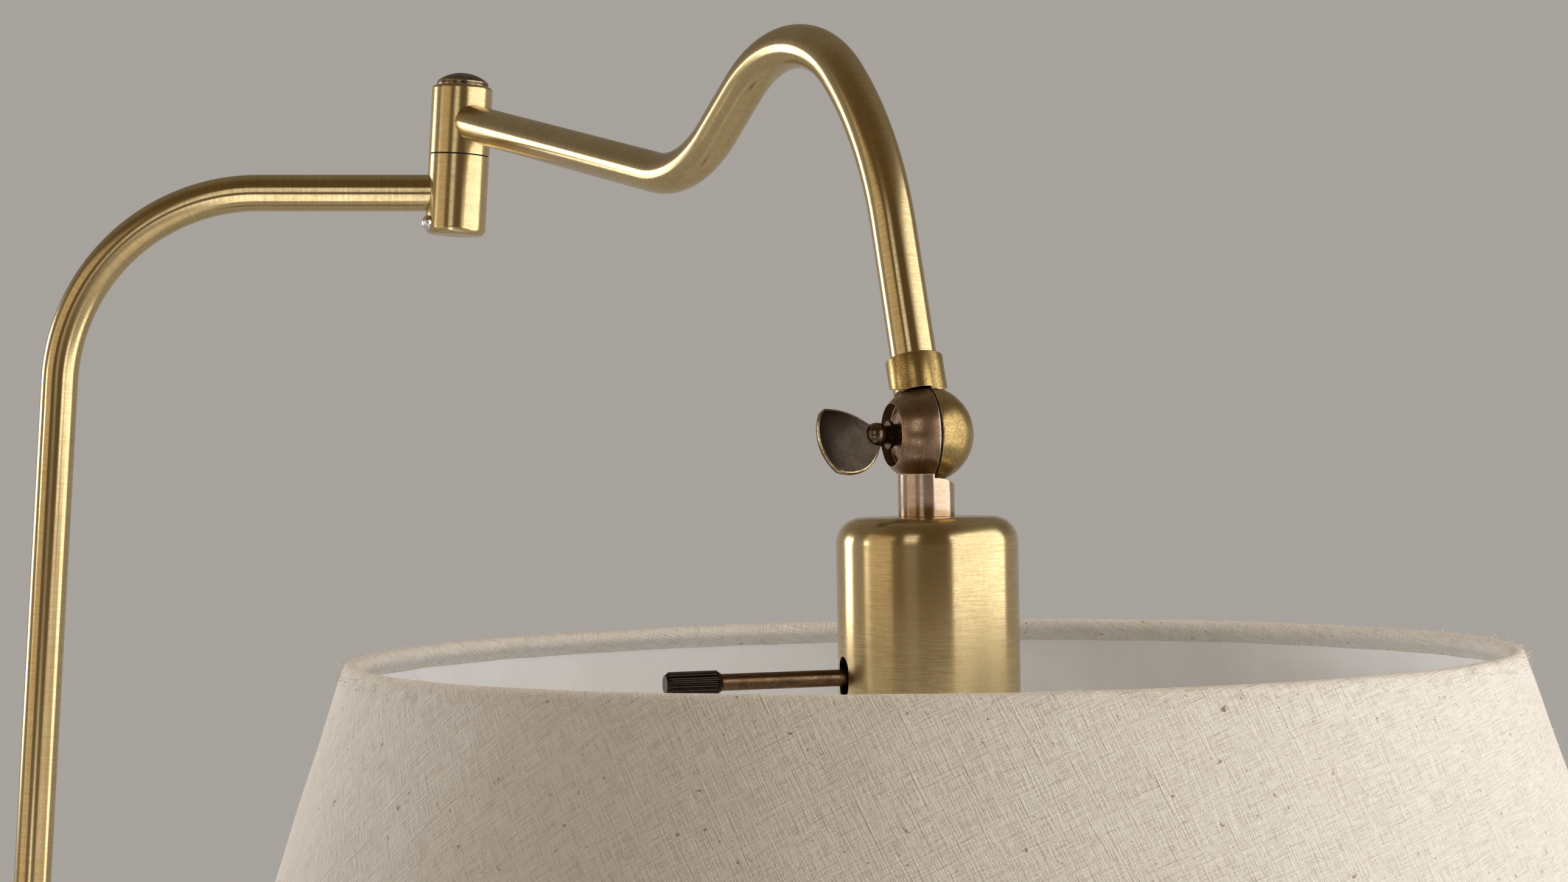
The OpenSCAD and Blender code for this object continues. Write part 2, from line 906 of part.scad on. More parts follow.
module screw_shell() {
    color(brass)
        at_ball()
            translate([0, 0, shell_top_z - shell_length])
                difference() {
                    cylinder(h = shell_length - fit, r = shell_r + shell_wall);
                    translate([0, 0, -over])
                        cylinder(h = shell_length + over - shell_wall - fit, r = shell_r);
                    cylinder(h = shell_length + over, r = contact_well_r);
                }
}

module centre_contact() {
    contact_r = contact_well_r - 0.5;
    flange_t = 0.8;
    color(brass)
        at_ball()
            translate([0, 0, shell_top_z + contact_well_h])
                mirror([0, 0, 1]) {
                    cylinder(h = flange_t, r = contact_r);
                    cylinder(h = contact_well_h + shell_wall, r = contact_r / 2);
                }
}

module key_rod() {
    color(bronze)
        at_ball()
            translate([0, 0, key_z])
                across(-knob_start - 4, -key_end - fit, key_rod_d / 2);
}

module key_knob() {
    tip_r = knob_d / 2 - 0.8;
    bevel = 1.2;
    groove_r = 0.42;
    color(bronze)
        at_ball()
            translate([-knob_start, 0, key_z])
                rotate([0, -90, 0])
                    difference() {
                        union() {
                            cylinder(h = bevel, r1 = tip_r, r2 = knob_d / 2);
                            translate([0, 0, bevel])
                                cylinder(h = knob_length - 2 * bevel, r = knob_d / 2);
                            translate([0, 0, knob_length - bevel])
                                cylinder(h = bevel, r1 = knob_d / 2, r2 = tip_r);
                        }
                        for (i = [0 : knob_ridges - 1])
                            rotate([0, 0, 360 * i / knob_ridges])
                                translate([knob_d / 2, 0, bevel])
                                    cylinder(h = knob_length, r = groove_r, $fn = 16);
                        translate([0, 0, -over])
                            cylinder(h = 4 + over, r = key_rod_d / 2 + fit / 2);
                    }
}

module retaining_ring() {
    ring_h = 6.5;
    color(brass)
        at_ball()
            translate([0, 0, fitter_z - fit - ring_h])
                ring(fitter_r + 0.5, socket_r + fit, ring_h);
}

// ---- Shade ----

module shade_spider() {
    reach = top_ring[0] - ring_wire_d / 2 - spoke_d / 2;
    hub_z = fitter_z + fitter_t / 2;
    rise = top_ring[1] - hub_z;
    run = reach - fitter_r + 1.5;
    color(steel)
        at_ball() {
            translate([0, 0, fitter_z])
                ring(fitter_r, socket_r + 0.4, fitter_t);
            for (i = [0 : spokes - 1])
                rotate([0, 0, spoke_turn + 360 * i / spokes])
                    translate([fitter_r - 1.5, 0, hub_z])
                        rotate([0, 90 - atan(rise / run), 0])
                            cylinder(h = sqrt(rise * rise + run * run), d = spoke_d);
        }
}

module shade_top_ring() {
    color(steel) at_ball() shade_hoop(top_ring, ring_wire_d / 2);
}

module shade_bottom_ring() {
    color(steel) at_ball() shade_hoop(bottom_ring, ring_wire_d / 2);
}

// A closed band of the shade's wall between two distances down the slope, n0 to n1 deep
module shade_band(s0, s1, n0, n1) {
    rotate_extrude($fn = 160)
        polygon([wall_at(s0, n0), wall_at(s1, n0), wall_at(s1, n1), wall_at(s0, n1)]);
}
module shade_hoop(place, r) {
    rotate_extrude($fn = 160)
        translate(place)
            circle(r = r, $fn = 24);
}

// The fabric goes round each ring wire and its end lies on the lining
module shade_cover() {
    color(linen)
        at_ball()
            difference() {
                union() {
                    shade_band(roll_r, slope - roll_r, 0, fabric_t);
                    for (place = [top_ring, bottom_ring])
                        shade_hoop(place, roll_r + hem_bulge);
                    shade_band(roll_r, hem_depth, fold_n, fold_n + fabric_t);
                    shade_band(slope - hem_depth, slope - roll_r, fold_n, fold_n + fabric_t);
                }
                for (place = [top_ring, bottom_ring])
                    shade_hoop(place, ring_wire_d / 2 + fit);
            }
}

module shade_lining() {
    start = 2 * roll_r + hem_bulge + fit;
    color(white)
        at_ball()
            shade_band(start, slope - start, fabric_t + fit, fabric_t + fit + lining_t);
}

base_pad();
base_weight();
base_cover();
base_nipple();
base_washer();
base_nut();
cord_inlet_bush();
pole_foot();
foot_bush();
pole_lower();
coupler_low();
pole_middle();
coupler_high();
pole_upper();
knuckle_lower();
pivot_pipe();
swing_washer();
knuckle_screw();
knuckle_upper();
pivot_washer();
pivot_nut();
knuckle_cap();
upper_arm();
swivel_upper();
swivel_washer();
swivel_lower();
clamp_washer();
wing_screw();
socket_cup();
cup_nut();
socket_body();
screw_shell();
centre_contact();
key_rod();
key_knob();
retaining_ring();
shade_spider();
shade_top_ring();
shade_bottom_ring();
shade_cover();
shade_lining();
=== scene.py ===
# %% [markdown]
# # A bridge floor lamp
# This notebook dresses a brass reading lamp: a slim pole bent into an arm, an S-bent upper arm, a ball
# swivel with a wing screw, a socket cup with a turn key, and a linen shade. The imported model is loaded
# first as a fixed frame. Nothing in it moves: every piece made here takes its place from it.

# %% Load the frame
import json
import math
import random
import bmesh
import bpy
from mathutils import Matrix, Vector
from mathutils.noise import noise as noise_at


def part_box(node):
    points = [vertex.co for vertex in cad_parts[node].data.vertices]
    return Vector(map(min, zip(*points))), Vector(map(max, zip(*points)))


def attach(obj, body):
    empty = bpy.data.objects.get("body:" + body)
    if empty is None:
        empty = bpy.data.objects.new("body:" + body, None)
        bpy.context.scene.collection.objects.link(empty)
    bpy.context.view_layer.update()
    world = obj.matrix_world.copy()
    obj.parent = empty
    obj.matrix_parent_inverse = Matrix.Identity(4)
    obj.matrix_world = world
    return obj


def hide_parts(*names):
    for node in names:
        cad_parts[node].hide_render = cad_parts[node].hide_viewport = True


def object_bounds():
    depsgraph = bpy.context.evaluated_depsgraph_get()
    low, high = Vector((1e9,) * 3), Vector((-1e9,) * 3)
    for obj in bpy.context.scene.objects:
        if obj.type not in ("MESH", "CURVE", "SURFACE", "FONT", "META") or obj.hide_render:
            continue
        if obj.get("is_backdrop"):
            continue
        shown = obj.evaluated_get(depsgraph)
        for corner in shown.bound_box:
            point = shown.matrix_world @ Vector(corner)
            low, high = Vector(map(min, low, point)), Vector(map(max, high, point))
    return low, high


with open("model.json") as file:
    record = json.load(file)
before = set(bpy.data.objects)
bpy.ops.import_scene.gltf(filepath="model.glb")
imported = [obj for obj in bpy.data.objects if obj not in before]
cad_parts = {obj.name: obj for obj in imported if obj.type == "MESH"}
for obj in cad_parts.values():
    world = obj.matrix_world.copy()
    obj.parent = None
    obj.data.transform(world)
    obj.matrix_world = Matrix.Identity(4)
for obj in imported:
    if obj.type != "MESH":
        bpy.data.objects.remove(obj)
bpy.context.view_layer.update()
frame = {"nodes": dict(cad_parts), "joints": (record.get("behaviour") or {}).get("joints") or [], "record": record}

# %% [markdown]
# The joints say where the moving parts turn, so the pieces are placed by them: the knuckle's upright
# axis, and the swivel's axis through the middle of the ball. The socket's axis gives the head's own
# upright. A small frame follows for the head.

# %% Where things are
MM = 0.001
joints = {joint["name"]: joint for joint in frame["joints"]}
mounts = {mount["name"]: mount for mount in frame["record"]["mounts"]}
ball = Vector(joints["head_tilt"]["pos_m"])
knuckle = Vector(joints["arm_swing"]["pos_m"])
swivel_way = Vector(joints["head_tilt"]["axis"]).normalized()
head_up = -Vector(mounts["lamp_socket"]["axis"]).normalized()


def frame_of(origin, x_way, z_way):
    """A matrix whose own X and Z run the ways given."""
    y_way = z_way.cross(x_way).normalized()
    columns = Matrix((x_way.normalized(), y_way, z_way.normalized())).transposed()
    return Matrix.Translation(origin) @ columns.to_4x4()


head = frame_of(ball, swivel_way, head_up)
print("the ball's centre in mm:", [round(c / MM, 1) for c in ball])

# %% [markdown]
# ## Tools for making pieces
# Every piece is made as a mesh of its own. Its faces are turned outwards and shaded smooth, apart from
# the edges that are sharp on the real piece. It rides on a body of the frame, takes a finish made here,
# and may stand for a plain solid of the frame.

# %% Making a piece from a mesh
def finish_piece(name, bm, body, material, stands_for=(), smooth_angle=40, turn_faces=True):
    """Makes an object of a mesh, with a body to ride on, and the solids it stands for."""
    bmesh.ops.remove_doubles(bm, verts=bm.verts, dist=1e-7)
    if turn_faces:
        bmesh.ops.recalc_face_normals(bm, faces=bm.faces)
    for face in bm.faces:
        face.smooth = True
    for edge in bm.edges:
        sharp = len(edge.link_faces) == 2 and edge.calc_face_angle(0) > math.radians(smooth_angle)
        edge.smooth = not sharp
    mesh = bpy.data.meshes.new(name)
    bm.to_mesh(mesh)
    bm.free()
    piece = bpy.data.objects.new(name, mesh)
    bpy.context.scene.collection.objects.link(piece)
    piece.data.materials.append(material)
    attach(piece, body)
    if stands_for:
        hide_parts(*stands_for)
    print(f"{name}: {len(mesh.polygons)} faces")
    return piece


# %% [markdown]
# Two helpers make the meshes. The first spins a profile round an axis, as a lathe does. A spun profile
# shows its flats at the rim, so it gets enough steps for a close look.

# %% Spinning a profile
def lathe(bm, profile, place, steps, runs=()):
    """Spins a closed profile (mm) round the Z axis of a place. Each point can keep a number, its run."""
    run_layer = bm.verts.layers.float.new("run") if runs else None
    ring = [bm.verts.new((r * MM, 0, z * MM)) for r, z in profile]
    for vert, run in zip(ring, runs):
        vert[run_layer] = run
    edges = [bm.edges.new((ring[i - 1], ring[i])) for i in range(len(ring))]
    bmesh.ops.spin(bm, geom=ring + edges, cent=(0, 0, 0), axis=(0, 0, 1), angle=math.tau,
                   steps=steps, use_merge=True)
    bmesh.ops.transform(bm, matrix=place, verts=bm.verts)


# %% [markdown]
# The second helper bends tube. It starts from a circle and pushes it along a list of steps: a length and
# no angle runs straight, a radius and an angle bends. Each vertex also remembers where it would be if
# the tube were straight again, and which way the tube runs there. A brushed finish follows the tube
# round its bends only because of those two: the tube was brushed while it was straight, and bent later.

# %% Bending tube
TUBE_SIDES = 48
STRAIGHT_STEP = 8
BEND_STEP_DEG = 2.5


def bend_tube(bm, radius, place, path):
    """Pushes a circle along +X of a place. Lengths in mm, angles in degrees, positive bends up."""
    unbent = bm.verts.layers.float_vector.new("unbent")
    way = bm.verts.layers.float_vector.new("way")
    circle = bmesh.ops.create_circle(bm, segments=TUBE_SIDES, radius=radius * MM, cap_ends=False,
                                     matrix=place @ Matrix.Rotation(math.pi / 2, 4, "Y"))
    ring = circle["verts"]
    back = place.inverted()
    for vert in ring:
        here = back @ vert.co
        vert[unbent] = (here.y, here.z, 0)
        vert[way] = place.to_3x3() @ Vector((1, 0, 0))
    first = list(ring)
    spot = place.copy()
    run = 0.0
    for size, turn in path:
        if turn == 0:
            steps = max(1, round(size / STRAIGHT_STEP))
            length = size / steps
            part = Matrix.Translation((length * MM, 0, 0))
        else:
            steps = max(2, round(abs(turn) / BEND_STEP_DEG))
            small = math.radians(turn) / steps
            length = size * abs(small)
            pivot = Matrix.Translation((0, 0, math.copysign(size * MM, turn)))
            part = pivot @ Matrix.Rotation(-small, 4, "Y") @ pivot.inverted()
        for _ in range(steps):
            edges = list({e for v in ring for e in v.link_edges if all(w in ring for w in e.verts)})
            grown = bmesh.ops.extrude_edge_only(bm, edges=edges)["geom"]
            ring = [g for g in grown if isinstance(g, bmesh.types.BMVert)]
            bmesh.ops.transform(bm, matrix=spot @ part @ spot.inverted(), verts=ring)
            spot = spot @ part
            run += length
            heading = spot.to_3x3() @ Vector((1, 0, 0))
            for vert in ring:
                vert[unbent] = (vert[unbent][0], vert[unbent][1], run * MM)
                vert[way] = heading
    for end in (first, ring):
        bmesh.ops.contextual_create(bm, geom=end)


# %% [markdown]
# ## Finishes
# Aged brass is not one colour. The bare metal is golden, and its lacquer has browned in places. The
# tubes were brushed by a belt that went round them, so fine lines cross them. The shader has three layers:
# a slow noise for the patina, a fine noise stretched round the piece for the brushing, and a grain. The
# brushing also makes highlights long and narrow, which is what the anisotropic roughness does.

# %% Node helpers
NOISE_LOW, NOISE_HIGH = 0.3, 0.7    # nearly all of a noise lies between these


def start_material(name):
    """A new material with its node tree and its shader."""
    material = bpy.data.materials.new(name)
    material.use_nodes = True
    tree = material.node_tree
    print("finish:", name)
    return material, tree, tree.nodes["Principled BSDF"]


def add(tree, kind, settings=None, **inputs):
    """A node with some of its settings. Its inputs go by name, or by number as i0, i1 and so on."""
    node = tree.nodes.new(kind)
    for key, value in (settings or {}).items():
        setattr(node, key, value)
    for key, value in inputs.items():
        by_number = key[0] == "i" and key[1:].isdigit()
        socket = node.inputs[int(key[1:]) if by_number else key.replace("_", " ")]
        if isinstance(value, bpy.types.NodeSocket):
            tree.links.new(value, socket)
        else:
            socket.default_value = value
    return node


def noise(tree, where, scale, detail=2.0, roughness=0.5):
    node = add(tree, "ShaderNodeTexNoise", Vector=where, Scale=scale, Detail=detail, Roughness=roughness)
    return node.outputs["Fac"]


def stretched(tree, where, scale):
    return add(tree, "ShaderNodeMapping", {"vector_type": "POINT"}, Vector=where, Scale=scale).outputs[0]


def remap(tree, value, low=NOISE_LOW, high=NOISE_HIGH, to_low=0.0, to_high=1.0):
    node = add(tree, "ShaderNodeMapRange", {"interpolation_type": "SMOOTHSTEP"}, Value=value,
               From_Min=low, From_Max=high, To_Min=to_low, To_Max=to_high)
    return node.outputs["Result"]


def blend_colours(tree, amount, first, second):
    return add(tree, "ShaderNodeMix", {"data_type": "RGBA"}, i0=amount, i6=first, i7=second).outputs[2]


def bump(tree, height, distance, strength=1.0, under=None):
    node = add(tree, "ShaderNodeBump", Height=height, Distance=distance, Strength=strength)
    if under is not None:
        tree.links.new(under, node.inputs["Normal"])
    return node.outputs["Normal"]


def product(tree, first, second):
    return add(tree, "ShaderNodeMath", {"operation": "MULTIPLY"}, i0=first, i1=second).outputs[0]


def cross(tree, first, second):
    node = add(tree, "ShaderNodeVectorMath", {"operation": "CROSS_PRODUCT"}, i0=first, i1=second)
    return node.outputs[0]


def to_world(tree, vector):
    """Turns a way in the piece's own frame into one in the scene's."""
    frames = {"vector_type": "VECTOR", "convert_from": "OBJECT", "convert_to": "WORLD"}
    return add(tree, "ShaderNodeVectorTransform", frames, Vector=vector).outputs[0]


def weighted_sum(tree, *terms):
    """Adds values, each times its own weight, and keeps the sum between 0 and 1."""
    total = 0.0
    for value, weight in terms:
        node = add(tree, "ShaderNodeMath", {"operation": "MULTIPLY_ADD"}, i0=value, i1=weight, i2=total)
        total = node.outputs[0]
    node.use_clamp = True
    return total


# %% [markdown]
# A turned piece reads its pattern in its own frame, with Z along the axis it was turned on. Lines that
# vary fast along the axis and slowly round it look like tool marks. The way of the brushing at a point is
# found by crossing the axis with the way out from it, and then with the surface's normal.

# %% Where the pattern lies
def tube_coordinates(tree):
    """The straightened position on a bent tube, and the way the tube runs."""
    place = add(tree, "ShaderNodeAttribute", {"attribute_name": "unbent"}).outputs["Vector"]
    run = add(tree, "ShaderNodeAttribute", {"attribute_name": "way"}).outputs["Vector"]
    return place, to_world(tree, run)


def turned_coordinates(tree, place):
    """Coordinates in the frame of a turned piece, and the way up its surface, across the tool marks."""
    spot = add(tree, "ShaderNodeTexCoord").outputs["Object"]
    angles = place.to_euler()
    local = add(tree, "ShaderNodeMapping", {"vector_type": "TEXTURE"}, Vector=spot,
                Location=place.translation, Rotation=angles).outputs[0]
    round_way = add(tree, "ShaderNodeMapping", {"vector_type": "VECTOR"},
                    Vector=cross(tree, (0, 0, 1), local), Rotation=angles).outputs[0]
    normal = add(tree, "ShaderNodeNewGeometry").outputs["Normal"]
    return local, cross(tree, normal, to_world(tree, round_way))


# %% The metal finish
def metal(name, bright, brown, roughness, brushed, place=None, patina=0.5, line_bump=0.0, grain_bump=0.0,
          line_contrast=0.35, line_scale=(60, 60, 2500), cloud_size=55, fleck_size=900, edge_wear_and_highlight=None):
    """
    Brushed or cast metal. The colours are the clean metal and its browned lacquer, and a third, given
    for edges, is the bright colour of bevels: partly bare metal from wear, partly a painted edge highlight.
    A bent tube has no place, because its mesh holds its own coordinates.
    """
    material, tree, shader = start_material(name)
    where, across = turned_coordinates(tree, place) if place is not None else tube_coordinates(tree)
    clouds = remap(tree, noise(tree, where, cloud_size, 3.0, 0.6))
    flecks = remap(tree, noise(tree, where, fleck_size, 2.0, 0.6), high=0.75)
    lines = noise(tree, stretched(tree, where, line_scale), 1.0, 3.0, 0.6)
    tone = weighted_sum(tree, (clouds, 0.5 * patina), (flecks, 0.5 * patina),
                        (remap(tree, lines), line_contrast))
    colour = blend_colours(tree, tone, (*bright, 1), (*brown, 1))
    rough = remap(tree, tone, 0.0, 1.0, roughness * 0.85, roughness * 1.3)
    if edge_wear_and_highlight:
        edge = add(tree, "ShaderNodeAttribute", {"attribute_name": "edge_wear_and_highlight"}).outputs["Fac"]
        # the bright edge colour: partly bare metal from wear, partly a painted edge highlight
        wear_and_highlight_mix = remap(tree, weighted_sum(tree, (edge, 1.0), (flecks, -0.6)), 0.2, 0.9)
        colour = blend_colours(tree, wear_and_highlight_mix, colour, (*edge_wear_and_highlight, 1))
    tree.links.new(colour, shader.inputs["Base Color"])
    tree.links.new(rough, shader.inputs["Roughness"])
    shader.inputs["Metallic"].default_value = 1.0
    shader.inputs["Anisotropic"].default_value = brushed
    tree.links.new(across, shader.inputs["Tangent"])
    normal = None
    if line_bump:
        normal = bump(tree, lines, line_bump * MM)
    if grain_bump:
        normal = bump(tree, noise(tree, where, fleck_size * 2, 3.0, 0.65), grain_bump * MM, under=normal)
    if normal is not None:
        tree.links.new(normal, shader.inputs["Normal"])
    return material


def plain(name, colour, roughness, metallic=0.0, mottle=0.15, scale=300, bump_mm=0.01, coat=0.0):
    """A finish with a slight mottle, for the pieces that are neither brushed nor woven."""
    material, tree, shader = start_material(name)
    where = add(tree, "ShaderNodeTexCoord").outputs["Object"]
    cloud = noise(tree, where, scale, 4.0, 0.6)
    darker = tuple(c * (1 - mottle) for c in colour)
    mottled = blend_colours(tree, remap(tree, cloud), (*colour, 1), (*darker, 1))
    rough = remap(tree, cloud, to_low=roughness, to_high=roughness * 1.25)
    tree.links.new(mottled, shader.inputs["Base Color"])
    tree.links.new(rough, shader.inputs["Roughness"])
    shader.inputs["Metallic"].default_value = metallic
    shader.inputs["Coat Weight"].default_value = coat
    tree.links.new(bump(tree, cloud, bump_mm * MM), shader.inputs["Normal"])
    return material


# %% [markdown]
# The tubes, the cup, the knuckle and the base are the same gold, each with its own tool marks. The cup's
# marks are tipped a little, as a hand-held tool leaves them. The castings are browner and grainier, and
# the smaller they are, the darker.

# %% The lamp's metals
GOLD, OLD_GOLD = (0.70, 0.56, 0.31), (0.44, 0.31, 0.13)
CAST_GOLD, CAST_BROWN = (0.60, 0.44, 0.175), (0.20, 0.125, 0.042)
BRONZE, BROWN_BRONZE = (0.46, 0.32, 0.21), (0.17, 0.10, 0.06)
ROSE_BRONZE, OLD_ROSE = (0.58, 0.45, 0.335), (0.33, 0.22, 0.15)
DARK_BRONZE, DARKER_BRONZE = (0.20, 0.145, 0.095), (0.055, 0.038, 0.026)
BLACK_BRONZE, BLACKER_BRONZE = (0.060, 0.044, 0.033), (0.026, 0.019, 0.015)
COPPER, OLD_COPPER = (0.26, 0.165, 0.09), (0.09, 0.052, 0.028)
upright = Matrix.Identity(4)
knuckle_place = Matrix.Translation((knuckle.x, knuckle.y, 0))
ball_axis = frame_of(ball, head_up, swivel_way)
tipped = Matrix.Rotation(math.radians(2.5), 4, "X")

tube_brass = metal("brushed brass tube", GOLD, OLD_GOLD, 0.20, 0.6, patina=0.4, line_bump=0.001,
                   line_contrast=0.3, line_scale=(60, 60, 1900))
cup_brass = metal("spun brass cup", GOLD, OLD_GOLD, 0.22, 0.75, place=head @ tipped, patina=0.35,
                  line_bump=0.0012, line_contrast=0.45, line_scale=(120, 120, 3400))
base_brass = metal("spun brass base", GOLD, OLD_GOLD, 0.27, 0.7, place=upright, patina=0.22,
                   line_scale=(14, 14, 1500), cloud_size=9)
knuckle_brass = metal("turned brass knuckle", GOLD, OLD_GOLD, 0.24, 0.5, place=knuckle_place,
                      patina=0.45, line_bump=0.0008, line_contrast=0.25, line_scale=(90, 90, 2600))
cast_gold = metal("cast golden brass", CAST_GOLD, CAST_BROWN, 0.27, 0.0, place=ball_axis, patina=1.0,
                  grain_bump=0.012, line_contrast=0.0, cloud_size=140, fleck_size=1900,
                  edge_wear_and_highlight=(0.75, 0.62, 0.38))
brown_bronze = metal("brushed brown bronze", BRONZE, BROWN_BRONZE, 0.3, 0.5, place=ball_axis,
                     patina=0.8, line_bump=0.001, grain_bump=0.006, line_contrast=0.3,
                     line_scale=(140, 140, 2600), cloud_size=160, fleck_size=1600,
                     edge_wear_and_highlight=(0.70, 0.55, 0.38))
neck_bronze = metal("polished neck bronze", ROSE_BRONZE, OLD_ROSE, 0.22, 0.5, place=head, patina=0.45,
                    line_bump=0.0006, line_contrast=0.2, line_scale=(90, 90, 2200),
                    edge_wear_and_highlight=(0.75, 0.62, 0.45))
dark_bronze = metal("dark bronze", DARK_BRONZE, DARKER_BRONZE, 0.24, 0.0, place=ball_axis, patina=0.9,
                    grain_bump=0.004, line_contrast=0.0, cloud_size=200, fleck_size=1500,
                    edge_wear_and_highlight=(0.72, 0.57, 0.34))
black_bronze = metal("blackened bronze", BLACK_BRONZE, BLACKER_BRONZE, 0.24, 0.0, place=ball_axis,
                     patina=0.7, grain_bump=0.003, line_contrast=0.0, cloud_size=200, fleck_size=1500,
                     edge_wear_and_highlight=(0.70, 0.55, 0.33))
copper_brown = metal("copper brown plating", COPPER, OLD_COPPER, 0.27, 0.3, place=ball_axis,
                     patina=1.0, grain_bump=0.01, line_contrast=0.0, cloud_size=250, fleck_size=2200)
rolled_brass = metal("rolled brass", (0.72, 0.56, 0.28), (0.50, 0.35, 0.14), 0.25, 0.3, place=head,
                     patina=0.4)

# %% The plain finishes, and what wears which
steel = plain("zinc plated steel", (0.55, 0.56, 0.57), 0.35, metallic=1.0)
iron = plain("black cast iron", (0.03, 0.03, 0.032), 0.6, mottle=0.3, bump_mm=0.1)
felt = plain("felted pad", (0.025, 0.024, 0.022), 0.95, mottle=0.5, scale=900, bump_mm=0.15)
black_plastic = plain("black moulded bush", (0.02, 0.02, 0.02), 0.45, mottle=0.2)
fibre = plain("dark fibre", (0.03, 0.022, 0.016), 0.85, mottle=0.5)
porcelain = plain("glazed porcelain", (0.80, 0.78, 0.72), 0.18, mottle=0.06, scale=40, coat=0.5)
enamel = plain("white enamelled wire", (0.75, 0.74, 0.70), 0.3, mottle=0.08, coat=0.3)
bright_screw = plain("bright screw", (0.85, 0.84, 0.80), 0.2, metallic=1.0, mottle=0.1)

shown_solids = {
    felt: ["base_pad"],
    iron: ["base_weight"],
    base_brass: ["base_cover", "pole_foot"],
    black_plastic: ["cord_inlet_bush"],
    steel: ["base_nipple", "base_washer", "base_nut", "foot_bush", "coupler_low", "coupler_high",
            "pivot_pipe", "pivot_washer", "pivot_nut", "cup_nut"],
    knuckle_brass: ["knuckle_lower", "knuckle_upper"],
    fibre: ["swing_washer", "swivel_washer"],
    bright_screw: ["knuckle_screw"],
    cup_brass: ["socket_cup"],
    porcelain: ["socket_body"],
    rolled_brass: ["screw_shell", "centre_contact", "retaining_ring"],
    copper_brown: ["key_rod"],
    black_bronze: ["key_knob"],
    enamel: ["shade_spider", "shade_top_ring", "shade_bottom_ring"],
}
for finish, nodes in shown_solids.items():
    for node in nodes:
        solid = frame["nodes"][node]
        solid.data.materials.clear()
        solid.data.materials.append(finish)
print(sum(len(nodes) for nodes in shown_solids.values()), "solids have their finish")

# %% [markdown]
# ## The bent tubes
# The pole's top section and the upper arm are one tube each, bent on a mandrel. Their lengths, radii and
# angles are the same as the solids', so the new tubes lie exactly where the plain ones were.

# %% The pole's upper section and its arm
TUBE_R = 6.35
POLE_BEND_R = 69
ARM_RISE = 3
SEAT = 6.657       # a tube starts so far from the knuckle's axis
rise = math.radians(ARM_RISE)
pole_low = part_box("pole_upper")[0]
run_to_knuckle = knuckle.x / MM - POLE_BEND_R * (1 - math.sin(rise))
bend_start = knuckle.z / MM - run_to_knuckle * math.tan(rise) - POLE_BEND_R * math.cos(rise)
pole_path = [
    (bend_start - pole_low.z / MM, 0),
    (POLE_BEND_R, -(90 - ARM_RISE)),
    ((run_to_knuckle - SEAT) / math.cos(rise), 0),
]
upwards = Matrix.Rotation(-math.pi / 2, 4, "Y")
bm = bmesh.new()
bend_tube(bm, TUBE_R, Matrix.Translation((0, 0, pole_low.z)) @ upwards, pole_path)
finish_piece("pole_upper_tube", bm, "stand", tube_brass, ["pole_upper"])

# %% [markdown]
# The pole comes apart into three sections. The two straight ones are made by the same helper, with no
# bend in the list. Their rims are a little round, so that each joint shows as a fine groove.

# %% The pole's two straight sections
RIM_ROUND = 0.3
for section in ("pole_lower", "pole_middle"):
    low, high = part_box(section)
    bm = bmesh.new()
    bend_tube(bm, TUBE_R, Matrix.Translation((0, 0, low.z)) @ upwards, [((high.z - low.z) / MM, 0)])
    rims = [e for e in bm.edges if any(len(f.verts) > 4 for f in e.link_faces)]
    bmesh.ops.bevel(bm, geom=rims, offset=RIM_ROUND * MM, offset_type="OFFSET", segments=2, profile=0.5,
                    affect="EDGES", material=-1)
    finish_piece(section + "_tube", bm, "stand", tube_brass, [section])

# %% [markdown]
# The upper arm lies in one upright plane: up, over a hump, and in a long sweep down to the swivel. It
# starts from the knuckle's axis, because that is what it turns about.

# %% The S-bent upper arm
REACH_TURN = 57
ARM_OFFSET = 25.4
FIRST_DROP = 10.5
arm_path = [
    (137.9 - SEAT, 0),      # out from the knuckle and a little down
    (41.2, 52.9),           # up
    (18.4, 0),
    (39.0, -85.5),          # over the hump
    (1.0, 0),
    (108.3, -27.4),         # a long sweep down
    (45.0, 0),              # into the swivel's collar
]
arm_place = (knuckle_place @ Matrix.Rotation(math.radians(-REACH_TURN), 4, "Z")
             @ Matrix.Translation((0, 0, knuckle.z + ARM_OFFSET * MM))
             @ Matrix.Rotation(math.radians(FIRST_DROP), 4, "Y")
             @ Matrix.Translation((SEAT * MM, 0, 0)))
bm = bmesh.new()
bend_tube(bm, TUBE_R, arm_place, arm_path)
finish_piece("upper_arm_tube", bm, "arm", tube_brass, ["upper_arm"])

# %% [markdown]
# ## The ball swivel
# The swivel's castings were tumbled, so every edge is a little round. Each solid of the frame is
# copied, its loose triangles are joined, and the sharp edges get a narrow bevel. The bevel's faces carry
# a mark that the finish turns into a bright edge colour: partly bare metal from wear, partly a painted
# highlight along the edge.

# %% Rounding the edges of a casting
FLAT_DEG = 0.4      # triangles that lean less than this lie in one face
SHARP_DEG = 38      # edges that turn more than this are rounded


